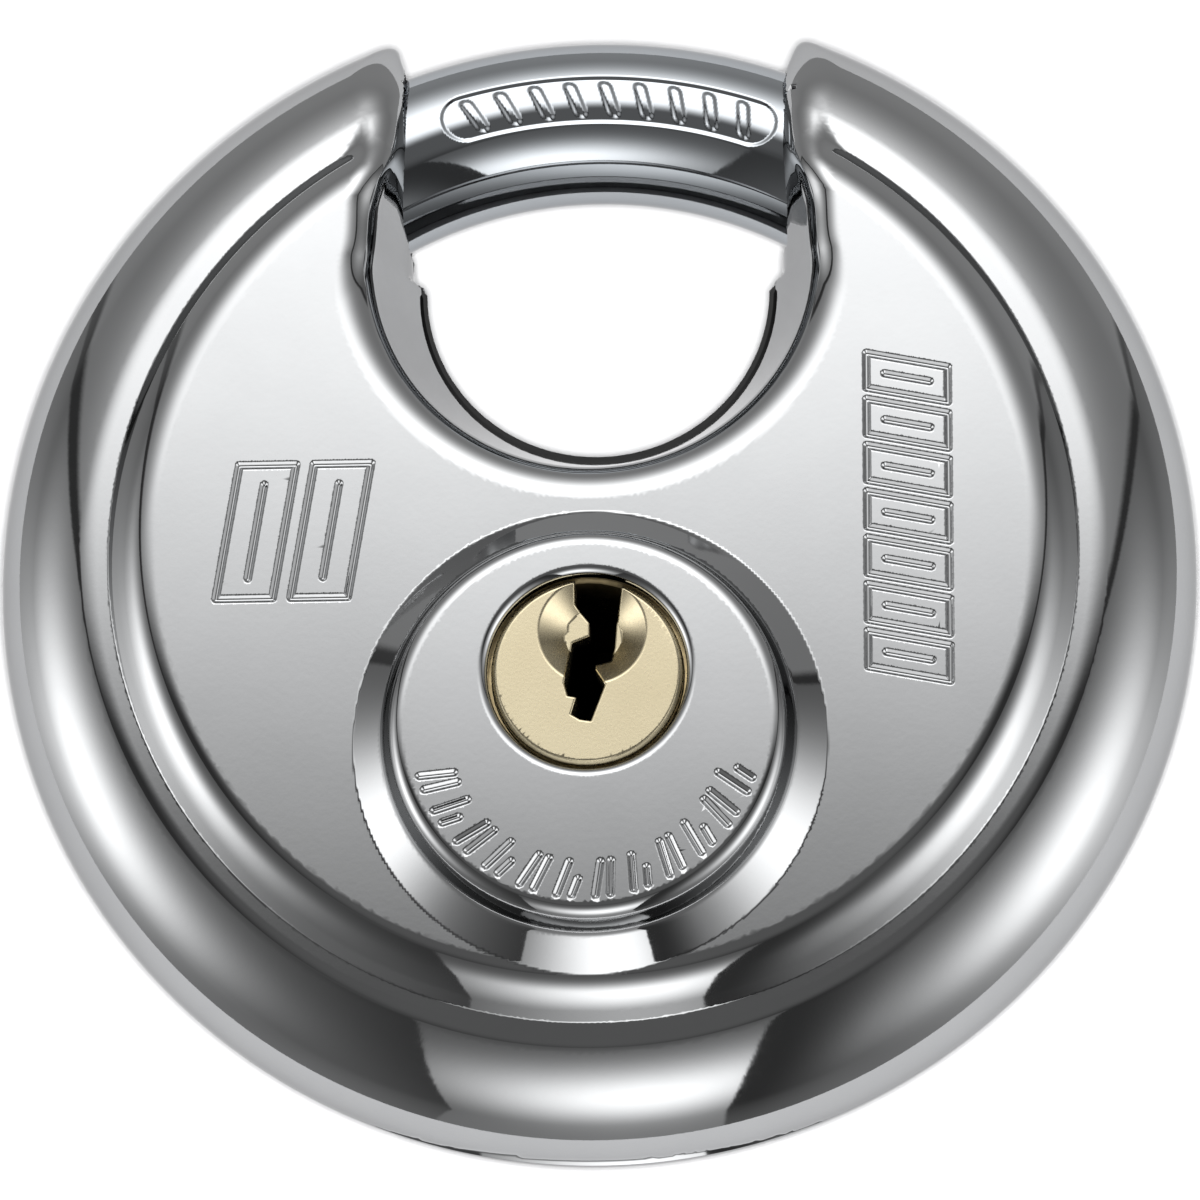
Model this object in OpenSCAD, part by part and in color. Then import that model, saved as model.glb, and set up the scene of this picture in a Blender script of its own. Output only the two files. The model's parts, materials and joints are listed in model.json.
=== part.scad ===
// Round disc padlock lying on its flat rear face: +Z out of the front face, +Y towards the
// shackle, origin on the shackle's turning axis. Two pressed shells hold a ring-shaped
// shackle, a pin tumbler cylinder and the crank that turns the shackle from the plug.

/* [Body] */
// Outside diameter of the round body
body_d = 70; // [69.5:0.1:71]
// Radius of the rounded rim's section
rim_r = 7; // [6.9:0.05:7.2]
// Depth from the seam plane to the flat rear face
rear_h = 10.5; // [10.4:0.1:11]
// Height from the seam plane to the flat front face
front_h = 8.75; // [8.7:0.05:9]
// Height of the round boss above the front face
boss_h = 4.05; // [4:0.05:4.4]
// Thickness of the pressed shells
wall = 1.5; // [1.4:0.05:1.5]

/* [Notch] */
// Radius of the notch's round end at the seam plane
notch_r = 10.5; // [10:0.1:10.6]
// Distance between the two horns' flat ends
gap_w = 22; // [21.6:0.1:22.4]
// Distance of the notch's round end above the shackle axis
notch_y = 17.6; // [17.5:0.1:18]

/* [Shackle] */
// Diameter of the shackle's round bar
bar_d = 9.5; // [9.2:0.1:9.6]
// Angle from the closed shackle to the open one
open_turn = 72; // [70:1:72]

/* [Cylinder] */
// Distance of the keyed plug below the shackle axis
plug_drop = 8.8; // [8.7:0.1:8.9]
// Diameter of the keyed plug
plug_d = 11; // [10.9:0.1:11]

/* [Hidden] */
$fn = 96;
eps = 1;                              // overshoot of cutting tools past a face

seam_z = rear_h;                      // height of the seam plane between the shells
hollow_drop = 0.01;                   // extra wall that the shells' flat faces keep inside
ring_r = body_d / 2 - rim_r;          // radius of the circle that the shackle follows
channel_r = bar_d / 2 + 0.35;         // radius of the channel that the shackle slides in
ledge_h = rim_r - 0.01;               // height of the narrow ledge inside the rim
ledge_r = ring_r - 0.4;               // radius where the face's raised edge starts
front_edge_r = 4;                     // rounding of the front face's edge
rear_edge_r = 3.5;                    // rounding of the rear face's edge

notch_slope = 18.5;                   // lean of the notch's wall from upright
notch_round_r = 2.5;                  // rounding between the notch's wall and a face
mouth_y = notch_y + 2;                // where the horns' flat ends begin
horn_wall = 2;                        // thickness of the horns' flat ends

boss_y = -11.9;                       // centre of the boss
boss_foot_r = 13.65;                  // boss radius where it meets the front face
boss_top_r = 11.5;                    // radius of the boss's flat top
boss_round_r = 1.6;                   // rounding of the boss's shoulder
boss_top = front_h + boss_h;
plug_hole_r = 5.8;                    // hole in the boss around the plug

plug_r = plug_d / 2;
bore_r = plug_r + 0.05;
barrel_r = 8;                         // cylinder body around the plug
nose_r = 7;                           // slimmer end of the barrel inside the boss
nose_h = 8;                           // where the slimmer end begins
bible_w = 8;                          // width of the block that holds the pin chambers
bible_y = -20.4;                      // outer end of that block
body_front = boss_top - wall - 0.1;
body_rear = -4;
bible_front = body_front - 1.3;

pin_count = 5;
pin_pitch = 2.65;
first_pin_h = 8.2;                    // height of the front pin above the seam plane
pin_r = 1.1;
chamber_r = 1.15;
key_pin_len = [3.0, 3.8, 3.4, 4.2, 2.8];
driver_len = 2.1;
pin_gap = 0.12;                       // space left at the plug's edge

spring_wire_r = 0.14;
spring_r = 0.85;
spring_turns = 5;

crank_r = plug_drop * tan(open_turn / 2);   // drive pin's distance from the plug's axis
closed_a = open_turn / 2 - 90;              // direction of the arm when closed
drive_pin_r = 1.75;
cam_front = -4.7;
cam_rear = -6.2;

arm_front = -6.45;
arm_rear = -8.15;
arm_w = 7.5;
slot_clear = 0.25;
block_in_r = ring_r - 6.6;            // inner side of the block riveted to the bar
block_out_r = ring_r - 3.7;
block_turn = 24;                      // angle that the block covers
bar_tip_a = 132;                      // direction of the shackle's free end when closed
bar_tail_a = -70;                     // direction of its inner end when closed

frame_r = 20.9;                       // outer radius of the die-cast frame
frame_front = front_h - wall - 0.05;
frame_rear = -6.3;
frame_top_y = 7;
wear_front = -8.4;
wear_rear = wall - rear_h + 2 * hollow_drop;
stud_at = [[17.6, 1], [16.2, -7.6], [-16.2, -7.6], [-17.6, 1]];
stud_r = 1.25;
nut_r = 2.7;
nut_h = 2;
nut_seat = -2.7;

keyway_points = [[-0.7, 6.2], [-0.7, 4.2], [0.1, 3.2], [0.1, 2.4], [-0.9, 2], [-1.3, -0.7],
    [-1.1, -1.4], [-0.6, -1.5], [-0.9, -2.5], [-0.4, -2.8], [0.2, -2.9], [1, -0.8],
    [0.4, 0.3], [0.4, 0.7], [1.3, 0.9], [1.5, 1.7], [1.6, 3.1], [1.9, 4.7], [2.2, 6.2]];

// Points of an arc about c with radius r, from angle a0 to a1.
function arc(c, r, a0, a1, n) =
    [for (i = [0:n]) let (a = a0 + (a1 - a0) * i / n) c + r * [cos(a), sin(a)]];

function pin_h(i) = first_pin_h - pin_pitch * i;

// Moves children to the seam plane, where all heights below are counted from.
module at_seam() {
    translate([0, 0, seam_z]) children();
}

module at_plug() {
    translate([0, -plug_drop, seam_z]) children();
}

// A straight round bar between two heights.
module bar(r, low, high) {
    translate([0, 0, low]) cylinder(r = r, h = high - low);
}

// Half of the rim's round section, above the seam plane.
module half_ring(r) {
    rotate_extrude() intersection() {
        translate([ring_r, 0]) circle(r = r);
        translate([ring_r - 2 * r, 0]) square([4 * r, 2 * r]);
    }
}

// Raised face inside the rim, with a rounded edge. inset = 0 gives its outside and
// inset = wall its hollow.
module face_disc(h, edge_r, inset) {
    low = inset > 0 ? channel_r - 0.2 : ledge_h;
    foot_a = asin((rim_r - h + edge_r) / edge_r);
    centre = [ledge_r - edge_r * cos(foot_a), h - edge_r];
    r = edge_r - inset;
    start_a = asin(max(0, (low - h + edge_r) / r));
    rotate_extrude() polygon(concat(
        [[0, 0], [ring_r, 0], [ring_r, low], [centre[0] + r * cos(start_a), low]],
        arc(centre, r, max(0.5, start_a), 90, 5),
        [[0, h - inset]]));
}

// Section of the notch from its middle to its wall. The wall leans out and rounds over
// into the face. grow moves the wall into the body.
module notch_section(h, grow) {
    foot = notch_r + grow / cos(notch_slope);
    centre_h = h - notch_round_r;
    centre_r = notch_r + centre_h * tan(notch_slope) + notch_round_r / cos(notch_slope);
    r = notch_round_r - grow;
    last = arc([centre_r, centre_h], r, 180 - notch_slope, 97, 4);
    polygon(concat([[0, -eps], [foot, -eps], [foot, 0]], last,
        [[last[4][0], h + 6], [0, h + 6]]));
}

module notch(h, grow) {
    translate([0, notch_y, 0]) {
        rotate([0, 0, 180]) rotate_extrude(angle = 180) notch_section(h, grow);
        for (side = [0, 1]) mirror([side, 0, 0])
            translate([0, mouth_y - notch_y, 0]) rotate([90, 0, 0])
                linear_extrude(mouth_y - notch_y) notch_section(h, grow);
    }
    half_gap = gap_w / 2 + (grow > 0 ? horn_wall : 0);
    translate([-half_gap, mouth_y - (grow > 0 ? 0 : 0.01), -eps])
        cube([2 * half_gap, body_d / 2, h + 6 + eps]);
}

// One pressed shell above the seam plane. The front one has the boss.
module half_shell(h, edge_r, with_boss) {
    difference() {
        union() {
            half_ring(rim_r);
            face_disc(h, edge_r, 0);
            if (with_boss) boss(0);
        }
        notch(h, 0);
        half_ring(channel_r);
        difference() {
            translate([0, 0, -hollow_drop]) face_disc(h, edge_r, wall);
            notch(h, wall);
        }
        if (with_boss) boss(wall);
        if (with_boss) translate([0, -plug_drop, 0]) bar(plug_hole_r, 0, boss_top + eps);
    }
}

module boss(inset) {
    foot_h = inset > 0 ? front_h - wall - 0.5 : ledge_h - 1;
    shoulder = [boss_top_r - 0.3, boss_top - boss_round_r];
    translate([0, boss_y, 0]) rotate_extrude() polygon(concat(
        [[0, foot_h], [boss_foot_r - inset, foot_h], [boss_foot_r - inset, front_h]],
        arc(shoulder, boss_round_r - min(inset, boss_round_r - 0.1), 20, 90, 4),
        [[0, boss_top - inset]]));
}

module front_shell() {
    color("silver") at_seam() half_shell(front_h, front_edge_r, true);
}

module rear_shell() {
    color("silver") at_seam() mirror([0, 0, 1]) half_shell(rear_h, rear_edge_r, false);
}

// Part of a ring about the shackle axis, from angle a0 through turn degrees.
module ring_part(a0, turn) {
    rotate([0, 0, a0]) rotate_extrude(angle = turn) children();
}

module shackle() {
    color("gainsboro") at_seam() difference() {
        ring_part(bar_tail_a, bar_tip_a - bar_tail_a)
            translate([ring_r, 0]) circle(d = bar_d);
        rivet_set(0);
    }
}

module at_arm(turn = 0) {
    rotate([0, 0, closed_a + turn]) children();
}

module arm_outline() {
    intersection() {
        union() {
            translate([10.6, 0]) circle(d = arm_w);
            translate([10.6, -arm_w / 2]) square([block_out_r, arm_w]);
        }
        circle(r = block_out_r - 0.4);
    }
}

module arm_slot() {
    near = plug_drop / cos(open_turn / 2) - slot_clear;
    far = plug_drop + crank_r + slot_clear;
    width = 2 * (drive_pin_r + slot_clear);
    for (x = [near, far]) translate([x, 0]) circle(d = width);
    translate([near, -width / 2]) square([far - near, width]);
}

module shackle_arm() {
    color("slategray") at_seam() difference() {
        at_arm() translate([0, 0, arm_rear]) linear_extrude(arm_front - arm_rear) arm_outline();
        at_arm() translate([0, 0, arm_rear - eps]) linear_extrude(4) arm_slot();
        rivet_set(eps);
    }
}

// Block that stands on the arm's end and fits against the bar.
module arm_block() {
    color("slategray") at_seam() difference() {
        ring_part(closed_a - block_turn / 2, block_turn) difference() {
            translate([block_in_r, arm_front]) square([block_out_r - block_in_r, 2 - arm_front]);
            translate([ring_r, 0]) circle(d = bar_d + 0.06);
        }
        rivet_set(eps);
    }
}

// Two rivets hold the block to the bar, and one holds it to the arm. proud lengthens their
// heads past the surfaces that they lie in.
module rivet_set(proud) {
    for (a = [-6, 6]) at_arm(a) rotate([0, 90, 0]) {
        bar(1, block_in_r, ring_r - 1.5);
        bar(1.7, block_in_r - proud, block_in_r + 0.9);
    }
    at_arm() translate([block_in_r + 1.4, 0, 0]) {
        bar(0.8, arm_rear, arm_front + 4);
        bar(1.2, arm_rear - proud, arm_rear + 0.6);
    }
}

module arm_rivets() {
    color("dimgray") at_seam() rivet_set(0);
}

module plug() {
    color("goldenrod") at_plug() difference() {
        bar(plug_r, cam_front, boss_top - 0.4);
        translate([0, 0, pin_h(pin_count - 1) - 1.2]) linear_extrude(20) polygon(keyway_points);
        translate([0.3, 2.4, boss_top - 1.6]) cylinder(r1 = 1.6, r2 = 3.1, h = 1.25);
        for (i = [0:pin_count - 1]) translate([0, -0.3, pin_h(i)])
            rotate([90, 0, 0]) cylinder(r = chamber_r, h = 7);
        cam_screw_set();
    }
}

module drive_cam() {
    color("slategray") at_plug() difference() {
        union() {
            bar(5.3, cam_rear, cam_front);
            translate([crank_r, 0, 0]) bar(2.9, cam_rear, cam_front);
            translate([0, -2.9, cam_rear]) cube([crank_r, 5.8, cam_front - cam_rear]);
        }
        drive_pin_shape();
        cam_screw_set();
    }
}

module drive_pin_shape() {
    translate([crank_r, 0, 0]) bar(drive_pin_r, arm_rear + 0.05, cam_front - 0.1);
}

module drive_pin() {
    color("dimgray") at_plug() drive_pin_shape();
}

module cam_screw_set() {
    for (x = [-2.9, 2.9]) translate([x, 2.2, 0]) {
        bar(1.35, cam_rear, cam_rear + 0.7);
        bar(0.7, cam_rear, cam_front + 3);
    }
}

module cam_screws() {
    color("dimgray") at_plug() cam_screw_set();
}

module thrust_washer() {
    color("gainsboro") at_plug() difference() {
        bar(barrel_r, cam_front + 0.1, body_rear);
        bar(plug_r + 0.1, cam_front - eps, 0);
    }
}

module cover_shape() {
    translate([-1.5, bible_y, body_rear + 0.2]) cube([3, 1, bible_front - body_rear - 0.4]);
}

module cylinder_body() {
    color("darkgoldenrod") difference() {
        union() {
            at_plug() bar(barrel_r, body_rear, nose_h);
            at_plug() bar(nose_r, nose_h - eps, body_front);
            at_seam() translate([-bible_w / 2, bible_y, body_rear])
                cube([bible_w, -bible_y - plug_drop, bible_front - body_rear]);
        }
        at_plug() bar(bore_r, body_rear - eps, body_front + eps);
        at_plug() for (i = [0:pin_count - 1]) translate([0, 0, pin_h(i)])
            rotate([90, 0, 0]) cylinder(r = chamber_r, h = 20);
        at_seam() cover_shape();
        cylinder_screws();
    }
}

module chamber_cover() {
    color("goldenrod") at_seam() cover_shape();
}

module drill_plate() {
    color("dimgray") difference() {
        at_seam() translate([-bible_w / 2, bible_y, bible_front])
            cube([bible_w, 8.5, body_front - bible_front]);
        at_plug() bar(nose_r, 0, boss_top);
    }
}

module cylinder_screws() {
    color("dimgray") at_seam() for (side = [-1, 1])
        translate([side * 3.2, -17.5, 3]) rotate([0, side * 90, 0]) cylinder(r = 1.25, h = 7.4);
}

// One key pin, pointed at its inner end, flush with the plug's edge at its outer end.
module key_pin(i) {
    color("gold") at_plug() translate([0, -plug_r + pin_gap + 0.02, pin_h(i)])
        rotate([-90, 0, 0]) {
            cylinder(r = pin_r, h = key_pin_len[i] - 0.6);
            translate([0, 0, key_pin_len[i] - 0.6]) cylinder(r1 = pin_r, r2 = 0.4, h = 0.6);
        }
}

module driver_pin(i) {
    color("gainsboro") at_plug() translate([0, -bore_r - pin_gap / 2, pin_h(i)])
        rotate([90, 0, 0]) cylinder(r = pin_r, h = driver_len);
}

// A coil spring along -Y between a driver pin and the chamber cover.
module pin_spring(i) {
    first = -bore_r - pin_gap / 2 - driver_len - spring_wire_r;
    last = bible_y + plug_drop + 1 + spring_wire_r;
    steps = spring_turns * 12;
    sides = 6;
    rings = [for (k = [0:steps]) let (
            a = 360 * spring_turns * k / steps,
            y = first + (last - first) * k / steps)
        [for (j = [0:sides - 1]) let (
                b = 360 * j / sides,
                r = spring_r + spring_wire_r * cos(b))
            [r * cos(a), y + spring_wire_r * sin(b), r * sin(a)]]];
    points = [for (ring = rings) for (p = ring) p];
    side_faces = [for (k = [0:steps - 1]) for (j = [0:sides - 1]) let (n = (j + 1) % sides)
        [k * sides + j, k * sides + n, (k + 1) * sides + n, (k + 1) * sides + j]];
    ends = [[for (j = [sides - 1:-1:0]) j], [for (j = [0:sides - 1]) steps * sides + j]];
    color("lightgray") at_plug() translate([0, 0, pin_h(i)])
        polyhedron(points, concat(side_faces, ends));
}

// Outline shared by the frame and the wear plate: a disc cut back around the notch.
module inner_outline(r, notch_clear_r) {
    difference() {
        intersection() {
            circle(r = r);
            translate([-r, -r]) square([2 * r, r + frame_top_y]);
        }
        translate([0, notch_y]) circle(r = notch_clear_r);
    }
}

module lock_frame() {
    color("darkgray") at_seam() difference() {
        union() {
            translate([0, 0, frame_rear]) linear_extrude(frame_front - frame_rear)
                inner_outline(frame_r, 15.5);
            for (side = [-1, 1]) translate([side * 17.8, -3.3, 0])
                bar(1.4, wear_front, frame_rear + eps);
        }
        translate([0, -plug_drop, 0]) bar(barrel_r + 0.05, frame_rear - eps, frame_front + eps);
        translate([0, -plug_drop, 0]) bar(9.7, frame_rear - eps, body_rear);
        translate([-bible_w / 2 - 0.05, -25, frame_rear - eps]) cube([bible_w + 0.1, 15, 20]);
        for (p = stud_at) translate([p[0], p[1], 0]) {
            bar(stud_r + 0.1, frame_rear, frame_front + eps);
            bar(nut_r + 0.2, frame_rear - eps, nut_seat);
        }
        translate([0, 0, -seam_z]) {
            cylinder_screws();
            stop_pins();
        }
    }
}

module frame_studs() {
    color("gainsboro") at_seam() for (p = stud_at) translate([p[0], p[1], 0])
        bar(stud_r, nut_seat - nut_h - 0.4, front_h - wall - hollow_drop);
}

module frame_nuts() {
    color("dimgray") at_seam() for (p = stud_at) translate([p[0], p[1], nut_seat - nut_h])
        difference() {
            cylinder(r = nut_r, h = nut_h, $fn = 6);
            translate([0, 0, -eps]) cylinder(r = stud_r + 0.02, h = 5);
        }
}

// Two pins beside the arm, one for each end of the shackle's travel.
module stop_pins() {
    out = arm_w / 2 + 1.25 + 0.1;
    color("dimgray") at_seam() {
        at_arm() translate([18.3, out, 0]) bar(1.25, wear_front, -2);
        at_arm(-open_turn) translate([18.3, -out, 0]) bar(1.25, wear_front, -2);
    }
}

module wear_plate() {
    color("lightgray") at_seam() translate([0, 0, wear_rear])
        linear_extrude(wear_front - wear_rear) inner_outline(22.8, 16.5);
}

front_shell();
rear_shell();
shackle();
shackle_arm();
arm_block();
arm_rivets();
plug();
drive_cam();
drive_pin();
cam_screws();
thrust_washer();
cylinder_body();
chamber_cover();
drill_plate();
cylinder_screws();
lock_frame();
frame_studs();
frame_nuts();
stop_pins();
wear_plate();
key_pin(0);  // key_pin_1
key_pin(1);  // key_pin_2
key_pin(2);  // key_pin_3
key_pin(3);  // key_pin_4
key_pin(4);  // key_pin_5
driver_pin(0);  // driver_pin_1
driver_pin(1);  // driver_pin_2
driver_pin(2);  // driver_pin_3
driver_pin(3);  // driver_pin_4
driver_pin(4);  // driver_pin_5
pin_spring(0);  // pin_spring_1
pin_spring(1);  // pin_spring_2
pin_spring(2);  // pin_spring_3
pin_spring(3);  // pin_spring_4
pin_spring(4);  // pin_spring_5
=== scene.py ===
"""Disc padlock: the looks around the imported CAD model."""

import json
import math

import bpy
import numpy as np
from mathutils import Matrix, Vector


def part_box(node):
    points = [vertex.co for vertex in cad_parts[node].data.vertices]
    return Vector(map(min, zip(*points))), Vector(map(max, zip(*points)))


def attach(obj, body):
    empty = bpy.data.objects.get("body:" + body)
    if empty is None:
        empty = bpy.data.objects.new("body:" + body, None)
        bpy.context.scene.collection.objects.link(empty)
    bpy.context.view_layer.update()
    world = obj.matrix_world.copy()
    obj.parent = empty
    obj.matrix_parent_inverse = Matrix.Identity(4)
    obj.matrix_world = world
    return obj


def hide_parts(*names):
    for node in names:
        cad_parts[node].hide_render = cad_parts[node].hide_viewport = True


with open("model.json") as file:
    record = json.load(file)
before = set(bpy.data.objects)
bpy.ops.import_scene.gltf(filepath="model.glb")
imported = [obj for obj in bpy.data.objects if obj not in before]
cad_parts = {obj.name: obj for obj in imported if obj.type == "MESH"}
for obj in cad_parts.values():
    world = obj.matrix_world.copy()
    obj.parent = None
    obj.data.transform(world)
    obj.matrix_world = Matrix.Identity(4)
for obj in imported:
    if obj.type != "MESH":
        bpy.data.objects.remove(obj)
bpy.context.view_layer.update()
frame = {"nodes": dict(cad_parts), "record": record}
nodes = frame["nodes"]

# ---------------------------------------------------------------- sizes, in millimetres
MM = 0.001
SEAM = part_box("rear_shell")[1].z / MM    # height of the plane where the two shells meet
RING_R = 28.0                            # circle that the shackle follows
CHANNEL_R, CHANNEL_ROUND = 5.1, 0.25     # space that the bar runs in, and its rounded edge
BAR_R = 4.75
WALL = 1.5
FAR = 99.0                               # a distance that is outside everything

RIM_C, RIM_A, RIM_B = 26.0, 9.0, 7.35    # rim section: an ellipse's centre and half sizes
CREST_H, CREST_SLOPE, CREST_ROUND = 6.87, 0.05, 4.0
CREST_TURN = math.radians(15)            # between the rim's and its flat crest's normals
CREASE_R, CREASE_H = 28.3, 6.68          # foot of the face's raised edge
EDGE_TILT, EDGE_ROUND = math.radians(50), 5.9        # that edge's steep lower part
BEND_TILT, BEND_ROUND = math.radians(38), 2.4        # and its bend into the face
BEND_R, BEND_H, CREASE_ROUND, CREASE_COS = 26.73, 8.36, 0.15, 0.68
CREASE_END, CREASE_END_Y, HORN_BLEND = (1.9, 4.0), 12, 5.0   # the crease fades beside the horns
FACE_H, FACE_DOME = 9.12, 1400.0         # face height at its middle, radius of its crown
REAR_H, REAR_ROUND = 10.5, 3.5
REAR_WALL_R, REAR_CREASE_ROUND = 27.7, 0.3
FRONT_HOLLOW_R, REAR_HOLLOW_R = 26.5, 26.0

NOTCH_Y, NOTCH_R, NOTCH_SLOPE = 17.6, 10.35, math.radians(18.5)
HORN_X, HORN_ROUND, HORN_FLARE = 10.9, 0.4, 1.1
HORN_START_Y = (17.5, 21.0)              # over this the round notch widens to the horns
HORN_FLARE_R, HORN_ROUND_H = (30.5, 36.0), (0.5, 6.0)    # where its flare and rounding change
FOOT_GROWS_R, FOOT_HALVES_R = (20.5, 27.5), (29, 35)     # radii that size its upright foot
MOUTH_R, MOUTH_OUT_R, MOUTH_ROUND = 6.9, 26.0, 0.35      # space around the bar at a horn
NOTCH_ROUND, REAR_NOTCH_R = 2.5, 10.1

BOSS_Y, BOSS_H, BOSS_R, BOSS_TILT, BOSS_ROUND = -11.9, 12.8, 11.65, math.radians(15), 0.9
BOSS_FOOT_R, FLARE_TILT, FLARE_H, FLARE_ROUND = 13.5, math.radians(50), 11.2, 1.0
BOSS_FILLET, BOSS_DOME, BOSS_WALL_MORE = 0.12, 1200.0, 0.2
PLUG_Y, PLUG_R, PLUG_H, HOLE_R, HOLE_ROUND = -8.8, 5.5, 12.4, 5.72, 0.55
PLUG_FOOT, PLUG_BEVEL = -4.7, 5.24       # plug's rear end, radius where its bevel starts
PLUG_EDGE_ROUND, DIMPLE_ROUND = 0.05, 0.06
KEYWAY_FOOT, KEYWAY_ROUND = -3.6, 0.13
DIMPLE_X, DIMPLE_Y, DIMPLE_R, DIMPLE_FOOT, DIMPLE_GROW = 0.3, 2.4, 3.1, 11.15, 1.2
PIN_H, PIN_BORE, PIN_BORE_Y = [8.2, 5.55, 2.9, 0.25, -2.4], 1.15, 0.3
CAM_SCREWS, CAM_SCREW_R, CAM_SCREW_TOP = [(-2.9, 2.2), (2.9, 2.2)], 0.7, -1.7
KEYWAY = [(-0.7, 6.2), (-0.7, 4.2), (0.1, 3.2), (0.1, 2.4), (-0.9, 2), (-1.3, -0.7), (-1.1, -1.4),
          (-0.6, -1.5), (-0.9, -2.5), (-0.4, -2.8), (0.2, -2.9), (1, -0.8), (0.4, 0.3), (0.4, 0.7),
          (1.3, 0.9), (1.5, 1.7), (1.6, 3.1), (1.9, 4.7), (2.2, 6.2)]
BAR_TAIL, BAR_TIP, BAR_END_ROUND = -70.0, 132.0, 0.6     # ends in degrees around the ring

GROOVE_HALF, GROOVE_DEEP = 0.27, 0.16    # stamped lines on the shell
GROOVE_REACH = 0.8                       # grooves are looked for this far around a group
LEFT_X, LEFT_Y, LEFT_BLOCK = (-19.35, -15.0), 0.7, (3.3, 8.0, 1.3)   # width, height, lean
LEFT_STROKE_X, LEFT_STROKE_Y = 0.45, (-2.1, 3.5)
RIGHT_X, RIGHT_Y, RIGHT_PITCH, RIGHT_BLOCKS = 18.35, -7.25, 2.78, 7
RIGHT_BLOCK, RIGHT_STROKE_X, RIGHT_STROKE_Y = (2.1, 4.7, 0.9), (17.05, 19.65), 0.25
ARC_R, ARC_Y, ARC_STEP, ARC_MARKS = 9.0, -12.1, 12.7, 12
FACE_MARK_H, BOSS_MARK_H = 7.8, 11.9     # the marks are only above these heights
BAR_MARK_X, BAR_MARK_LENGTH, BAR_MARK_WIDTH = 0.9, 20.2, 3.1
BAR_MARK_A = 89.0                        # where the bar's mark sits around the bar, 90 = front
BAR_MARK_DEEP, BAR_MARK_WALL = 0.13, 0.3
BAR_RIBS, BAR_RIB_PITCH, BAR_RIB_HALF, BAR_RIB_LEAN = 9, 2.0, 0.34, 0.35
BAR_RIB_LENGTH = 0.75                    # half length of a rib's straight part


# ---------------------------------------------------------------- implicit shapes
def round_max(a, b, r, cos=0.0):
    """Intersection of two shapes, their edge rounded to radius r; cos = between their normals."""
    u, v = a + r, b + r
    arc = np.sqrt(np.maximum(u * u + v * v - 2 * cos * u * v, 0) / (1 - cos * cos)) - r
    return np.where((u > cos * v) & (v > cos * u), arc, np.maximum(a, b))


def round_min(a, b, r, cos=0.0):
    """Union of two shapes, with the corner between them filled to radius r."""
    return -round_max(-a, -b, r, cos)


def smooth(x, low, high):
    t = np.clip((x - low) / (high - low), 0, 1)
    return t * t * (3 - 2 * t)


def rim(R, h):
    """Oval ring around the body, with its crest cut to a nearly flat band."""
    u, v = R - RIM_C, h
    g = np.hypot(u / RIM_A, v / RIM_B) + 1e-9
    slope = np.hypot(u / RIM_A ** 2, v / RIM_B ** 2) / g + 1e-9
    oval = (g - 1) / slope
    crest = h - CREST_H + CREST_SLOPE * (R - CREASE_R)
    return round_max(oval, crest, CREST_ROUND, math.cos(CREST_TURN))


def plateau(R, h, top):
    """Crowned face inside the rim; its edge bends over and leans down to the crease."""
    bend = (R - BEND_R) * math.sin(BEND_TILT) + (h - BEND_H) * math.cos(BEND_TILT)
    wall = (R - CREASE_R) * math.sin(EDGE_TILT) + (h - CREASE_H) * math.cos(EDGE_TILT)
    face = round_max(h - top, bend, BEND_ROUND, math.cos(BEND_TILT))
    return round_max(face, wall, EDGE_ROUND, math.cos(EDGE_TILT - BEND_TILT))


def notch_lean(x, y, h):
    """How far up its lean the notch wall is, and how much it leans there (0 to 1).

    Around the bar's hole the wall is upright, and only leans above it."""
    R = np.hypot(x, y)
    foot = CHANNEL_R * smooth(R, *FOOT_GROWS_R) * (1 - 0.5 * smooth(R, *FOOT_HALVES_R))
    soft = 0.01 + np.minimum(0.8 * foot, 2.0)
    lean = np.clip((h - foot + soft) / (2 * soft), 0, 1)
    return np.where(lean < 1, soft * lean * lean, h - foot), lean


def notch_gap(x, y, h, radius=NOTCH_R):
    """Distance into the notch's empty space, counted from its wall."""
    below = np.hypot(x, np.minimum(y - NOTCH_Y, 0))
    width = radius + smooth(y, *HORN_START_Y) * (HORN_X - radius)
    width = width + HORN_FLARE * smooth(np.hypot(x, y), *HORN_FLARE_R)
    width = width + math.tan(NOTCH_SLOPE) * notch_lean(x, y, h)[0]
    return (width - below) * math.cos(NOTCH_SLOPE)


def notch_edge(h):
    """Rounding of the notch's rim; it shrinks towards the seam at the tips of the horns."""
    return NOTCH_ROUND - (NOTCH_ROUND - HORN_ROUND) * (1 - smooth(h, *HORN_ROUND_H))


def notch_cos(x, y, h):
    """Cosine between the notch wall's normal and the shell's outer normal."""
    R = np.hypot(x, y) + 1e-9
    out, up = np.maximum(R - RIM_C, 0) / RIM_A ** 2, np.maximum(h, 0) / RIM_B ** 2 + 1e-6
    size = np.hypot(out, up)
    dy = np.minimum(y - NOTCH_Y, 0)
    towards = -(x * x + y * dy) / (R * (np.hypot(x, dy) + 1e-9))
    slope = NOTCH_SLOPE * notch_lean(x, y, h)[1]
    return out / size * towards * np.cos(slope) + up / size * np.sin(slope)


def mouth(x, y, R, h):
    """Wider space on the bar's inner side, where it leaves a horn."""
    near_bar = np.maximum(np.hypot(R - RING_R, h) - MOUTH_R, R - MOUTH_OUT_R)
    return np.maximum(np.abs(x) - HORN_X, near_bar) + FAR * (y < 0)


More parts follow.
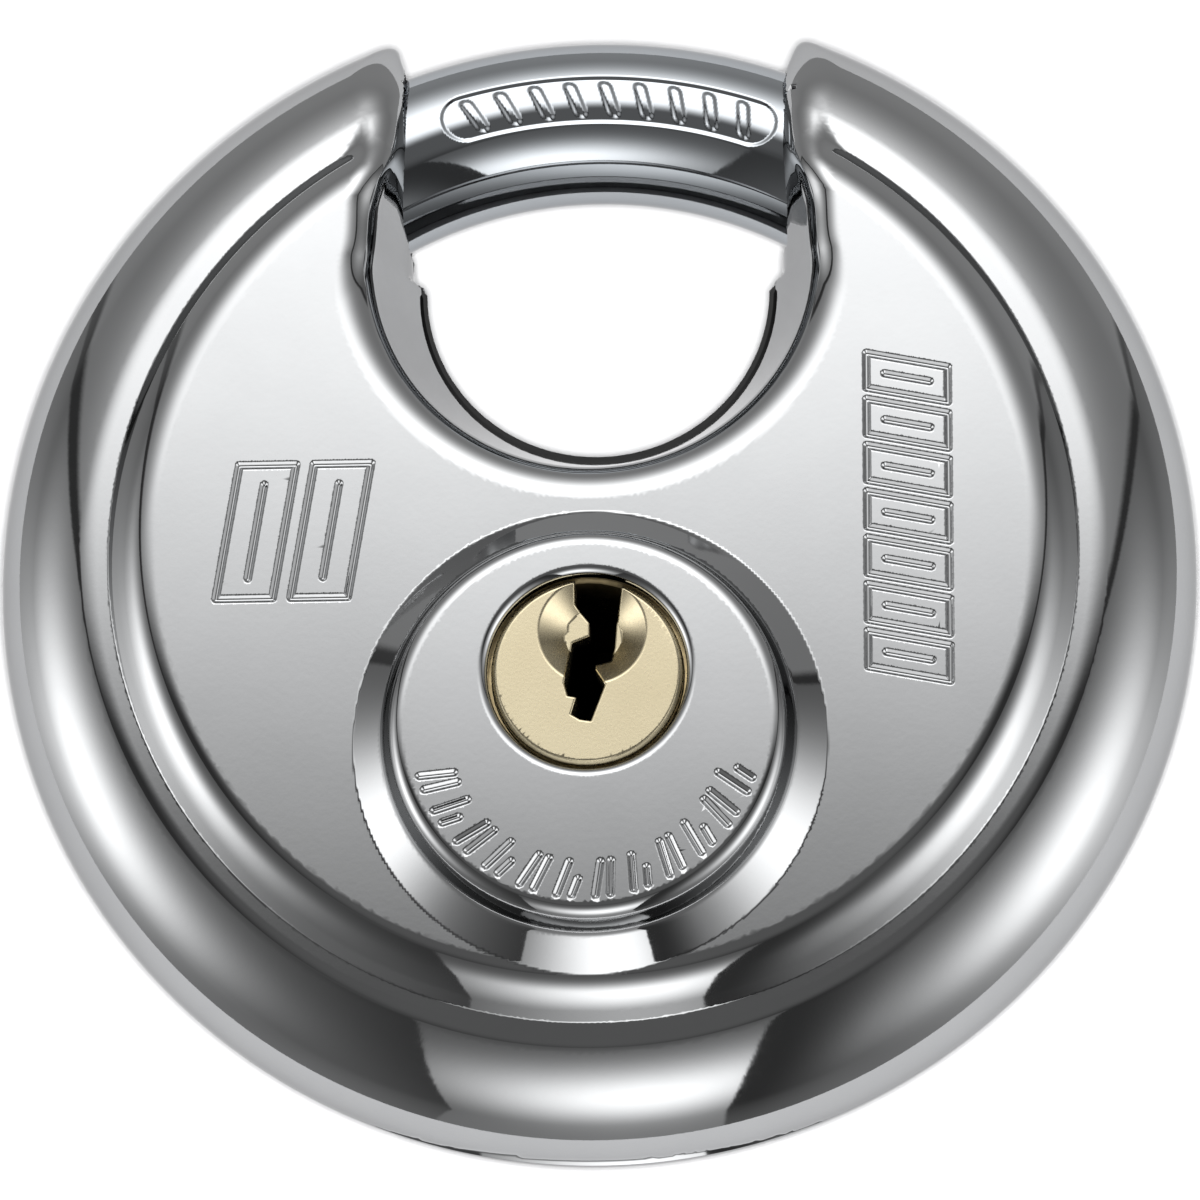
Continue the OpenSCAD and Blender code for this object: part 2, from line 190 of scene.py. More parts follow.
def boss(x, y, h):
    """Steep round boss on a flared foot, with a slightly crowned top."""
    r = np.hypot(x, y - BOSS_Y)
    side = (r - BOSS_R) * math.cos(BOSS_TILT) + (h - FLARE_H) * math.sin(BOSS_TILT)
    upper = round_max(side, h - BOSS_H + r * r / (2 * BOSS_DOME), BOSS_ROUND, math.sin(BOSS_TILT))
    flare = (r - BOSS_FOOT_R) * math.cos(FLARE_TILT) + (h - FACE_H) * math.sin(FLARE_TILT)
    return round_min(upper, np.maximum(flare, h - FLARE_H), FLARE_ROUND,
                     math.cos(FLARE_TILT - BOSS_TILT))


def front_outer(x, y, h):
    """Outside of the front shell, notch and boss included; h counts up from the seam plane."""
    R = np.hypot(x, y)
    top = FACE_H - R * R / (2 * FACE_DOME)
    fade = (1 - smooth(np.abs(x) - HORN_X, *CREASE_END)) * (y > CREASE_END_Y)
    solid = round_min(rim(R, h), plateau(R, h, top), CREASE_ROUND + HORN_BLEND * fade, CREASE_COS)
    solid = round_min(solid, boss(x, y, h), BOSS_FILLET, math.sin(FLARE_TILT))
    return round_max(solid, notch_gap(x, y, h), notch_edge(h), notch_cos(x, y, h))


def front_f(x, y, h):
    R = np.hypot(x, y)
    f = front_outer(x, y, h)
    f = round_max(f, HOLE_R - np.hypot(x, y - PLUG_Y), HOLE_ROUND)
    f = round_max(f, -mouth(x, y, R, h), MOUTH_ROUND)
    f = round_max(f, CHANNEL_R - np.hypot(R - RING_R, h), CHANNEL_ROUND)
    top = FACE_H - R * R / (2 * FACE_DOME)
    inner = np.maximum(plateau(R, h, top), notch_gap(x, y, h)) + WALL
    inner = np.maximum(R - FRONT_HOLLOW_R, inner)
    boss_wall = np.hypot(x, y - BOSS_Y) - BOSS_R + WALL + BOSS_WALL_MORE
    inner_boss = np.maximum(boss_wall, h - BOSS_H + WALL)
    return np.maximum(f, -np.minimum(inner, inner_boss))


def rear_f(x, y, h):
    """h counts down from the seam plane towards the rear face."""
    R = np.hypot(x, y)
    face = round_max(h - REAR_H, R - REAR_WALL_R, REAR_ROUND)
    f = round_min(rim(R, h), face, REAR_CREASE_ROUND)
    gap = notch_gap(x, y, h, REAR_NOTCH_R)
    f = round_max(f, gap, notch_edge(h), notch_cos(x, y, h))
    f = round_max(f, -mouth(x, y, R, h), MOUTH_ROUND)
    f = round_max(f, CHANNEL_R - np.hypot(R - RING_R, h), CHANNEL_ROUND)
    inner = np.maximum(R - REAR_HOLLOW_R, np.maximum(h - REAR_H + WALL, gap + WALL))
    return np.maximum(f, -inner)


def near_segments(x, y, a, b):
    """Distance from points to the nearest of many segments a-b."""
    best = np.full(x.shape, 1e9)
    for (ax, ay), (bx, by) in zip(a, b):
        dx, dy = bx - ax, by - ay
        t = np.clip(((x - ax) * dx + (y - ay) * dy) / (dx * dx + dy * dy), 0, 1)
        best = np.minimum(best, (x - ax - t * dx) ** 2 + (y - ay - t * dy) ** 2)
    return np.sqrt(best)


def inside_outline(x, y, points):
    """True where a point is inside a closed outline, by counting crossings."""
    result = np.zeros(x.shape, bool)
    for (ax, ay), (bx, by) in zip(points, points[1:] + points[:1]):
        if ay != by:
            result ^= ((ay > y) != (by > y)) & (x < (bx - ax) * (y - ay) / (by - ay) + ax)
    return result


def keyway_distance(x, y):
    """Distance from the keyway's outline, negative inside it."""
    d = near_segments(x, y, KEYWAY, KEYWAY[1:] + KEYWAY[:1])
    return np.where(inside_outline(x, y, KEYWAY), -d, d)


def plug_f(x, y, h):
    """x and y are counted from the plug's axis."""
    r = np.hypot(x, y)
    if x.ndim == 3:
        key = np.repeat(keyway_distance(x[:, :, 0], y[:, :, 0])[:, :, None], x.shape[2], axis=2)
    else:
        key = keyway_distance(x, y)
    face = round_max(h - PLUG_H, (r - PLUG_BEVEL + h - PLUG_H) * math.sqrt(0.5), PLUG_EDGE_ROUND)
    f = round_max(face, r - PLUG_R, PLUG_EDGE_ROUND)
    f = np.maximum(f, PLUG_FOOT - h)
    grow = math.cos(math.atan(DIMPLE_GROW))
    cone = (np.hypot(x - DIMPLE_X, y - DIMPLE_Y) - DIMPLE_R + (PLUG_H - h) * DIMPLE_GROW) * grow
    f = round_max(f, -np.maximum(cone, DIMPLE_FOOT - h), DIMPLE_ROUND)
    f = round_max(f, -np.maximum(key, KEYWAY_FOOT - h), KEYWAY_ROUND)
    for pin_h in PIN_H:
        f = np.maximum(f, -np.maximum(np.hypot(x, h - pin_h) - PIN_BORE, y + PIN_BORE_Y))
    for sx, sy in CAM_SCREWS:
        f = np.maximum(f, -np.maximum(np.hypot(x - sx, y - sy) - CAM_SCREW_R, h - CAM_SCREW_TOP))
    return f


# ---------------------------------------------------------------- stamped marks (no lettering)
def slanted(cx, cy, width, height, lean):
    """Outline of a leaning block, as a closed list of points."""
    w, h, s = width / 2, height / 2, lean / 2
    return [(cx - w - s, cy - h), (cx + w - s, cy - h), (cx + w + s, cy + h), (cx - w + s, cy + h)]


def turned(points, angle, cx, cy):
    """Points turned by angle, then moved to (cx, cy)."""
    c, s = math.cos(angle), math.sin(angle)
    return [(cx + x * c - y * s, cy + x * s + y * c) for x, y in points]


def mark_groups():
    """Closed outlines stamped into the face and the boss, as (outlines, lowest h)."""
    left = []
    for cx in LEFT_X:
        left.append(slanted(cx, LEFT_Y, *LEFT_BLOCK))
        left.append([(cx - LEFT_STROKE_X, LEFT_STROKE_Y[0]), (cx + LEFT_STROKE_X, LEFT_STROKE_Y[1])])
    right = []
    for k in range(RIGHT_BLOCKS):
        cy = RIGHT_Y + RIGHT_PITCH * k
        right.append([(y, -x) for x, y in slanted(-cy, RIGHT_X, *RIGHT_BLOCK)])
        right.append([(RIGHT_STROKE_X[0], cy + RIGHT_STROKE_Y), (RIGHT_STROKE_X[1], cy - RIGHT_STROKE_Y)])
    arc = []
    for k in range(ARC_MARKS):
        a = math.radians(-90 + (k - (ARC_MARKS - 1) / 2) * ARC_STEP)
        cx, cy = ARC_R * math.cos(a), ARC_Y + ARC_R * math.sin(a)
        arc.append(turned([(-0.6, -0.95), (-0.1, 0.95)], a + math.pi / 2, cx, cy))
        arc.append(turned([(0.25, -0.95), (0.5, 0.0 if k % 2 else 0.95)], a + math.pi / 2, cx, cy))
    return [(left, FACE_MARK_H), (right, FACE_MARK_H), (arc, BOSS_MARK_H)]


GROUPS = []
for outlines, low_h in mark_groups():
    start = [p for o in outlines for p in o]
    end = [p for o in outlines for p in o[1:] + o[:1]]
    spread = np.array(start)
    GROUPS.append((start, end, spread.min(0) - GROOVE_REACH, spread.max(0) + GROOVE_REACH, low_h))


def groove_distance(x, y, h):
    """Distance to the nearest stamped line, or FAR where none is near."""
    result = np.full(x.shape, FAR)
    for start, end, low, high, low_h in GROUPS:
        here = (x > low[0]) & (x < high[0]) & (y > low[1]) & (y < high[1]) & (h > low_h)
        if here.any():
            result[here] = np.minimum(result[here], near_segments(x[here], y[here], start, end))
    return result


def groove_depth(x, y, h):
    t = np.clip(groove_distance(x, y, h) / GROOVE_HALF, 0, 1)
    return GROOVE_DEEP * (1 - t * t) ** 2


# ---------------------------------------------------------------- meshing an implicit shape
GRID_HALF = 36.0                         # half width of the shells' grid


def gradient(f, p, e=0.004):
    """Slope of f at the points p, from values e apart on either side."""
    g = np.empty_like(p)
    for k in range(3):
        d = np.zeros(3)
        d[k] = e
        a, b = p + d, p - d
        g[:, k] = (f(a[:, 0], a[:, 1], a[:, 2]) - f(b[:, 0], b[:, 1], b[:, 2])) / (2 * e)
    return g


def project(f, p, steps=6, limit=0.35):
    """Moves points onto the surface f = 0 by Newton steps no longer than limit."""
    for _ in range(steps):
        v = f(p[:, 0], p[:, 1], p[:, 2])
        g = gradient(f, p)
        s = v / np.maximum((g * g).sum(1), 0.05)
        move = g * s[:, None]
        length = np.linalg.norm(move, axis=1)
        move *= np.minimum(1, limit / np.maximum(length, 1e-12))[:, None]
        p = p - move
    return p


def surface_nets(values, low, cell):
    """One vertex per cell that the surface crosses, one quad per crossed grid edge."""
    inside = values < 0
    n = np.array(values.shape)
    corners = [(i, j, k) for i in (0, 1) for j in (0, 1) for k in (0, 1)]
    part = {c: inside[c[0]:n[0] - 1 + c[0], c[1]:n[1] - 1 + c[1], c[2]:n[2] - 1 + c[2]]
            for c in corners}
    count = sum(p.astype(np.int8) for p in part.values())
    active = (count > 0) & (count < 8)
    index = np.full(active.shape, -1, np.int64)
    cells = np.argwhere(active)
    index[active] = np.arange(len(cells))
    total = np.zeros((len(cells), 3))
    hits = np.zeros(len(cells))
    at = {c: values[cells[:, 0] + c[0], cells[:, 1] + c[1], cells[:, 2] + c[2]] for c in corners}
    for a in corners:
        for axis in range(3):
            if a[axis] == 0:
                b = tuple(1 if q == axis else a[q] for q in range(3))
                va, vb = at[a], at[b]
                cross = (va < 0) != (vb < 0)
                t = np.where(cross, va / np.where(cross, va - vb, 1), 0)
                point = np.tile(np.array(a, float), (len(cells), 1))
                point[:, axis] = t
                total += point * cross[:, None]
                hits += cross
    verts = (cells + total / hits[:, None]) * cell + low
    quads = []
    for axis in range(3):
        u, v = (axis + 1) % 3, (axis + 2) % 3
        lo = [slice(None)] * 3
        hi = [slice(None)] * 3
        lo[axis], hi[axis] = slice(0, n[axis] - 1), slice(1, n[axis])
        a, b = inside[tuple(lo)], inside[tuple(hi)]
        edge = a != b
        idx = np.argwhere(edge)
        ok = (idx[:, u] > 0) & (idx[:, v] > 0) & (idx[:, u] < n[u] - 1) & (idx[:, v] < n[v] - 1)
        idx = idx[ok]
        starts_in = a[edge][ok]
        q = []
        for du, dv in ((1, 1), (0, 1), (0, 0), (1, 0)):
            c = idx.copy()
            c[:, u] -= du
            c[:, v] -= dv
            q.append(index[c[:, 0], c[:, 1], c[:, 2]])
        q = np.stack(q, 1)
        q[~starts_in] = q[~starts_in][:, ::-1]
        quads.append(q)
    return verts, np.concatenate(quads)


def relax(f, p, tri, rounds):
    """Evens out the triangles: points slide over the surface towards their neighbours' middle."""
    free = p[:, 2] > 0.05
    edge = np.concatenate([tri[:, [0, 1]], tri[:, [1, 2]], tri[:, [2, 0]]])
    count = np.bincount(edge.ravel(), minlength=len(p))[:, None]
    for _ in range(rounds):
        total = np.stack([np.bincount(edge[:, 0], p[edge[:, 1], k], len(p))
                          + np.bincount(edge[:, 1], p[edge[:, 0], k], len(p)) for k in range(3)], 1)
        g = gradient(f, p)
        g /= np.maximum(np.linalg.norm(g, axis=1), 1e-9)[:, None]
        move = total / np.maximum(count, 1) - p
        move -= g * (move * g).sum(1)[:, None]
        p = p.copy()
        p[free] += 0.5 * move[free]
        p[free] = project(f, p[free], 2, 0.2)
    return p


def split_edges(f, p, tri, size, passes):
    """Splits the edges longer than size(point) in two, and puts the new points on the surface."""
    for _ in range(passes):
        e = np.sort(np.concatenate([tri[:, [0, 1]], tri[:, [1, 2]], tri[:, [2, 0]]]), axis=1)
        key = e[:, 0] * (len(p) + 1) + e[:, 1]
        unique, first, inverse = np.unique(key, return_index=True, return_inverse=True)
        ue = e[first]
        a, b = p[ue[:, 0]], p[ue[:, 1]]
        mid = (a + b) / 2
        long_edge = size(mid, b - a) > 1
        if not long_edge.any():
            break
        new_id = np.full(len(unique), -1, np.int64)
        new_id[long_edge] = len(p) + np.arange(long_edge.sum())
        p = np.concatenate([p, settle(f, mid[long_edge], 4, 0.15)])
        m = new_id[inverse.reshape(-1)].reshape(3, -1).T
        n_split = (m >= 0).sum(1)
        out = [tri[n_split == 0]]
        for k in range(3):
            i, j = (k + 1) % 3, (k + 2) % 3
            one = (n_split == 1) & (m[:, k] >= 0)
            t, mm = tri[one], m[one]
            out += [np.stack([t[:, k], mm[:, k], t[:, j]], 1),
                    np.stack([mm[:, k], t[:, i], t[:, j]], 1)]
            two = (n_split == 2) & (m[:, k] < 0)
            t, mm = tri[two], m[two]
            out += [np.stack([mm[:, i], t[:, j], mm[:, j]], 1),
                    np.stack([t[:, k], t[:, i], mm[:, i]], 1),
                    np.stack([t[:, k], mm[:, i], mm[:, j]], 1)]
        three = n_split == 3
        t, mm = tri[three], m[three]
        out += [np.stack([t[:, 0], mm[:, 0], mm[:, 2]], 1), np.stack([mm[:, 0], t[:, 1], mm[:, 1]], 1),
                np.stack([mm[:, 2], mm[:, 1], t[:, 2]], 1), mm]
        tri = np.concatenate(out)
    return p, tri


def settle(f, p, steps, limit):
    """Moves points onto the surface. Points on the seam plane stay on it."""
    on_seam = np.abs(p[:, 2]) < 1e-9
    out = p.copy()
    out[~on_seam] = project(f, p[~on_seam], steps, limit)
    q = p[on_seam]
    near = np.abs(f(q[:, 0], q[:, 1], q[:, 2])) < 0.12
    moved = project(lambda x, y, h: f(x, y, h * 0), q[near], steps, limit)
    moved[:, 2] = 0
    q = q.copy()
    q[near] = moved
    out[on_seam] = q
    return out


def build_shell(f, top, cell, size, passes):
    """Mesh of the solid f < 0 above the seam plane, with a crisp edge along that plane."""
    low = np.array([-GRID_HALF, -GRID_HALF, -cell / 2])
    n = [int(2 * GRID_HALF / cell) + 2] * 2 + [int((top + 1) / cell) + 3]
    axes = [low[k] + cell * np.arange(n[k]) for k in range(3)]
    g = np.meshgrid(*axes, indexing="ij")
    values = f(g[0], g[1], g[2])
    inside = values[:, :, 1] < 0
    values[:, :, 0] = np.abs(values[:, :, 0]) + 0.1
    p, quads = surface_nets(values, low, cell)
    layer = np.floor((p[:, 2] - low[2]) / cell)
    ci = np.clip(np.floor((p[:, 0] - low[0]) / cell).astype(int), 0, n[0] - 2)
    cj = np.clip(np.floor((p[:, 1] - low[1]) / cell).astype(int), 0, n[1] - 2)
    count = sum(inside[ci + a, cj + b].astype(int) for a in (0, 1) for b in (0, 1))
    bottom = layer < 0.5
    outline = bottom & (count < 4)
    p[bottom, 2] = 0
    p[outline] = project(lambda x, y, h: f(x, y, h * 0), p[outline], 12)
    p[bottom, 2] = 0
    p[~bottom] = project(f, p[~bottom], 12)
    p[~bottom, 2] = np.maximum(p[~bottom, 2], 0.02)
    tri = np.concatenate([quads[:, [0, 1, 2]], quads[:, [0, 2, 3]]])
    p = relax(f, p, tri, 4)
    for _ in range(passes):
        p, tri = split_edges(f, p, tri, size, 1)
        p = relax(f, p, tri, 1)
    return p, tri


def build_solid(f, low, high, cell, size, passes):
    """Mesh of a closed solid f < 0 inside the box low-high."""
    low = np.array(low, float)
    axes = [low[k] + cell * np.arange(int((high[k] - low[k]) / cell) + 2) for k in range(3)]
    g = np.meshgrid(*axes, indexing="ij")
    p, quads = surface_nets(f(g[0], g[1], g[2]), low, cell)
    p = project(f, p, 12)
    tri = np.concatenate([quads[:, [0, 1, 2]], quads[:, [0, 2, 3]]])
    return split_edges(f, p, tri, size, passes)


# ---------------------------------------------------------------- mesh objects
def add_mesh(name, points, faces, normals=None, body="body"):
    """points in millimetres, in the row frame. normals holds one unit vector per face corner."""
    mesh = bpy.data.meshes.new(name)
    faces = np.asarray(faces)
    count, sides = faces.shape
    mesh.vertices.add(len(points))
    mesh.vertices.foreach_set("co", (np.asarray(points, float) * MM).astype(np.float32).ravel())
    mesh.loops.add(count * sides)
    mesh.loops.foreach_set("vertex_index", faces.astype(np.int32).ravel())
    mesh.polygons.add(count)
    mesh.polygons.foreach_set("loop_start", (np.arange(count) * sides).astype(np.int32))
    mesh.polygons.foreach_set("loop_total", np.full(count, sides, np.int32))
    mesh.update(calc_edges=True)
    mesh.validate()
    mesh.polygons.foreach_set("use_smooth", np.ones(len(mesh.polygons), bool))
    if normals is not None and len(mesh.loops) == len(normals):
        mesh.normals_split_custom_set(normals.tolist())
    obj = bpy.data.objects.new(name, mesh)
    bpy.context.scene.collection.objects.link(obj)
    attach(obj, body)
    return obj


def shell_object(name, f, top, cell, size, passes, up):
    """One shell half: up is 1 above the seam plane, with the stamped marks, and -1 below it."""
    p, tri = build_shell(f, top, cell, size, passes)
    widest = RIM_C + RIM_A
    p[:, :2] *= np.minimum(1, widest / np.maximum(np.hypot(p[:, 0], p[:, 1]), 1))[:, None]
    if up > 0:
        p[:, 2] -= groove_depth(p[:, 0], p[:, 1], p[:, 2])
        normal = gradient(lambda x, y, h: f(x, y, h + groove_depth(x, y, h)), p, 0.02)
    else:
        normal = gradient(f, p)
    normal /= np.maximum(np.linalg.norm(normal, axis=1), 1e-9)[:, None]
    corner = normal[tri]
    flat = (np.abs(p[tri][:, :, 2]) < 1e-9).all(1)
    corner[flat] = (0, 0, -1)
    out = p.copy()
    if up < 0:
        out[:, 2] *= -1
        corner[:, :, 2] *= -1
        tri = tri[:, ::-1]
        corner = corner[:, ::-1]
    out[:, 2] += SEAM
    return add_mesh(name, out, tri, corner.reshape(-1, 3))


# The longest triangle edge that is kept, by place.
EDGE_OUTER, EDGE_INNER, EDGE_HORN, EDGE_REAR_NOTCH = 0.75, 1.3, 0.4, 0.5
EDGE_CREASE, EDGE_RING, EDGE_HOLE, EDGE_FOOT, EDGE_BOSS = 0.17, 0.33, 0.16, 0.22, 0.3
EDGE_GROOVE_QUICK, EDGE_GROOVE = 0.13, 0.105
EDGE_PLUG_SHARP, EDGE_PLUG_FACE, EDGE_PLUG = 0.09, 0.35, 0.8
RING_BAND, RING_BAND_H = (24.9, 30.8), 5.5   # radii and lowest height of the face's raised edge
NEAR_NOTCH, NEAR_SURFACE, NEAR_GROOVE = -3.2, 0.3, 0.42
ALONG_WEIGHT = 0.4                       # edges along the ring may be this much longer


def front_size(m, d):
    """How many times too long each edge is, from its middle m and its vector d."""
    x, y, h = m[:, 0], m[:, 1], m[:, 2]
    R = np.hypot(x, y)
    outer = np.abs(front_outer(x, y, h)) < NEAR_SURFACE
    target = np.where(outer, EDGE_OUTER, EDGE_INNER)
    ring = outer & (R > RING_BAND[0]) & (R < RING_BAND[1]) & (h > RING_BAND_H)
    at_crease = np.abs(R - CREASE_R) < 0.6
    target = np.where(ring, np.where(at_crease, EDGE_CREASE, EDGE_RING), target)
    horn = outer & (notch_gap(x, y, h) > NEAR_NOTCH) & (h > 0.2)
    target = np.where(horn, EDGE_HORN, target)
    groove = groove_distance(x, y, h) < NEAR_GROOVE
    target = np.where(groove, EDGE_GROOVE, target)
    hole = np.abs(np.hypot(x, y - PLUG_Y) - HOLE_R - 0.2) < 0.6
    target = np.where(hole & (h > BOSS_H - 1.2), EDGE_HOLE, target)
    b = np.hypot(x, y - BOSS_Y)
    foot = (np.abs(b - BOSS_FOOT_R - 0.2) < 0.7) & (h < FACE_H + 0.8) & outer
    target = np.where(foot, EDGE_FOOT, target)
    target = np.where((np.abs(b - 11.7) < 1.4) & (h > FACE_H + 0.3), EDGE_BOSS, target)
    along = np.abs(d[:, 0] * -y + d[:, 1] * x) / np.maximum(R, 1)
    length = np.linalg.norm(d, axis=1)
    across = np.sqrt(np.maximum(length ** 2 - along ** 2, 0))
    length = np.where(ring, np.hypot(across, along * ALONG_WEIGHT), length)
    return length / target


def rear_size(m, d):
    x, y, h = m[:, 0], m[:, 1], m[:, 2]
    outer = np.abs(np.minimum(rim(np.hypot(x, y), h), 9)) < NEAR_SURFACE
    target = np.where(outer | (h > REAR_H - 4), EDGE_OUTER, EDGE_INNER)
    target = np.where((notch_gap(x, y, h) > NEAR_NOTCH) & (h > 0.2), EDGE_REAR_NOTCH, target)
    return np.linalg.norm(d, axis=1) / target


def plug_size(m, d):
    x, y, h = m[:, 0], m[:, 1], m[:, 2]
    bevel = np.abs(np.hypot(x, y) - PLUG_BEVEL - 0.12)
    edge = np.minimum(np.abs(keyway_distance(x, y) - 0.07), bevel)
    edge = np.minimum(edge, np.abs(np.hypot(x - DIMPLE_X, y - DIMPLE_Y) - DIMPLE_R))
    face = np.where(edge < 0.25, EDGE_PLUG_SHARP, EDGE_PLUG_FACE)
    target = np.where(h > DIMPLE_FOOT - 0.15, face, EDGE_PLUG)
    return np.linalg.norm(d, axis=1) / target


def plug_object():
    p, tri = build_solid(plug_f, low=(-6, -6, -5.2), high=(6, 6, 12.9), cell=0.22,
                         size=plug_size, passes=3)
    normal = gradient(plug_f, p)
    normal /= np.maximum(np.linalg.norm(normal, axis=1), 1e-9)[:, None]
    p = p + (0, PLUG_Y, SEAM)
    return add_mesh("plug_turned", p, tri, normal[tri].reshape(-1, 3), "plug")


def bar_relief(s, t):
    """Depth of the mark on the bar; s runs along the bar and t around it."""
    straight = BAR_MARK_LENGTH / 2 - BAR_MARK_WIDTH / 2
    track = np.hypot(np.maximum(np.abs(s) - straight, 0), t) - BAR_MARK_WIDTH / 2
    floor = 1 - smooth(track, -BAR_MARK_WALL, 0)
    ribs = np.zeros_like(s)
    for k in range(BAR_RIBS):
        across = s - (k - (BAR_RIBS - 1) / 2) * BAR_RIB_PITCH + BAR_RIB_LEAN * t
        along = np.maximum(np.abs(t) - BAR_RIB_LENGTH, 0)
        rib = smooth(np.hypot(across, along), BAR_RIB_HALF - 0.2, BAR_RIB_HALF + 0.16)
        ribs = np.maximum(ribs, 1 - rib)
    return BAR_MARK_DEEP * (floor - ribs * (track < -0.1))


def bar_point(theta, phi):
    """Point of the bar's surface, theta around the ring and phi around the bar."""
    s = (theta - math.pi / 2) * RING_R + BAR_MARK_X
    t = (phi - math.radians(BAR_MARK_A)) * BAR_R
    rho = BAR_R - bar_relief(s, t)
    R = RING_R + rho * np.cos(phi)
    return np.stack([R * np.cos(theta), R * np.sin(theta), SEAM + rho * np.sin(phi)], -1)


def bar_object():
    """The bar: rings along it that are close together under the mark, and rounded ends."""
    mark_low, mark_high = 67.2, 112.8    # degrees around the ring
    fine = 0.21
    theta = np.radians(np.concatenate([np.arange(BAR_TAIL, mark_low, 1.4),
                                       np.arange(mark_low, mark_high, fine),
                                       np.linspace(mark_high, BAR_TIP, 14)]))
    side_low, side_high = 66, 112        # degrees around the bar
    around = 1.2
    phi = np.radians(np.concatenate([np.arange(side_low, side_high, around),
                                     np.linspace(side_high, side_low + 360, 84)[:-1]]))
    T, P = np.meshgrid(theta, phi, indexing="ij")
    e = 1e-5
    points = bar_point(T, P)
    normal = np.cross(bar_point(T, P + e) - bar_point(T, P - e),
                      bar_point(T + e, P) - bar_point(T - e, P))
    normal = -normal / np.linalg.norm(normal, axis=-1)[..., None]
    rings, normals = list(points), list(normal)
    for end, sign in ((theta[0], -1), (theta[-1], 1)):
        along = np.array([-math.sin(end), math.cos(end), 0]) * sign
        centre = np.array([RING_R * math.cos(end), RING_R * math.sin(end), SEAM])
        first = rings[0] if sign < 0 else rings[-1]
        out = (first - centre) / BAR_R
        extra, extra_n = [], []
        for a in np.radians((18, 36, 54, 72, 90)):
            radius = BAR_R - BAR_END_ROUND * (1 - math.cos(a))
            shift = BAR_END_ROUND * (math.sin(a) - 1)
            extra.append(centre + out * radius + along * shift)
            extra_n.append(out * math.cos(a) + along * math.sin(a))
        extra.append(centre + out * 0.02)
        extra_n.append(np.tile(along, (len(phi), 1)))
        first[:] += along * -BAR_END_ROUND
        if sign < 0:
            rings, normals = extra[::-1] + rings, extra_n[::-1] + normals
        else:
            rings, normals = rings + extra, normals + extra_n
    points, normal = np.concatenate(rings), np.concatenate(normals)
    n, m = len(rings), len(phi)
    i, j = np.meshgrid(np.arange(n - 1), np.arange(m), indexing="ij")
    i, j = i.ravel(), j.ravel()
    k = (j + 1) % m
    quads = np.stack([i * m + j, i * m + k, (i + 1) * m + k, (i + 1) * m + j], 1)
    tri = np.concatenate([quads[:, [0, 1, 2]], quads[:, [0, 2, 3]]])
    face = np.cross(points[tri[:, 1]] - points[tri[:, 0]], points[tri[:, 2]] - points[tri[:, 0]])
    if (face * normal[tri[:, 0]]).sum() < 0:
        tri = tri[:, ::-1]
    return add_mesh("shackle_bar", points, tri, normal[tri].reshape(-1, 3), "shackle")


front = shell_object("front_shell_pressed", front_f, top=13.2, cell=0.68, size=front_size,
                     passes=5, up=1)
rear = shell_object("rear_shell_pressed", rear_f, top=10.9, cell=0.7, size=rear_size, passes=2, up=-1)
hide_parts("front_shell")
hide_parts("rear_shell")
bar = bar_object()
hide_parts("shackle")
plug = plug_object()
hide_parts("plug")


# ---------------------------------------------------------------- node helpers
class Tree:
    """Builds shader nodes with short calls."""

    def __init__(self, tree):
        self.tree = tree
        tree.nodes.clear()

    def add(self, kind, inputs=None, **settings):
        node = self.tree.nodes.new("ShaderNode" + kind)
        for key, value in settings.items():
            setattr(node, key, value)
        for key, value in (inputs or {}).items():
            socket = node.inputs[key]
            if isinstance(value, bpy.types.NodeSocket):
                self.tree.links.new(value, socket)
            else:
                socket.default_value = value
        return node

    def math(self, op, a, b=0.0, c=0.0, clamp=False):
        node = self.add("Math", {0: a, 1: b, 2: c}, operation=op, use_clamp=clamp)
        return node.outputs[0]

    def dot(self, a, b):
        return self.add("VectorMath", {0: a, 1: b}, operation="DOT_PRODUCT").outputs["Value"]

    def ramp(self, value, low, high, out_low=0.0, out_high=1.0, kind="SMOOTHSTEP"):
        node = self.add("MapRange", {"Value": value, "From Min": low, "From Max": high,
                                     "To Min": out_low, "To Max": out_high}, interpolation_type=kind)
        return node.outputs["Result"]

    def mix(self, factor, a, b):
        node = self.add("Mix", {"Factor": factor}, data_type="RGBA")
        for key, value in ((6, a), (7, b)):
            if isinstance(value, bpy.types.NodeSocket):
                self.tree.links.new(value, node.inputs[key])
            else:
                node.inputs[key].default_value = value
        return node.outputs[2]

    def noise(self, vector, scale, detail=3.0, rough=0.5):
        node = self.add("TexNoise", {"Vector": vector, "Scale": scale, "Detail": detail,
                                     "Roughness": rough})
        return node.outputs["Fac"]


def new_material(name):
    material = bpy.data.materials.new(name)
    material.use_nodes = True
    return material, Tree(material.node_tree)


def rgba(r, g, b):
    return (r, g, b, 1.0)


PATCH_SCALE = 90.0                       # noise scale of the slow changes in tone
# The first colour here is painted shade: near black, for metal deep inside recesses such as the plug's
# keyway.
PAINTED_SHADE, JOINT_LINE, EDGE_TINT = rgba(0.012, 0.01, 0.008), rgba(0.02, 0.02, 0.02), rgba(0.6, 0.6, 0.6)
JOINT_THINS, JOINT_THINNER = (0.030, 0.033), 4.0     # the joint line is thin outside these radii


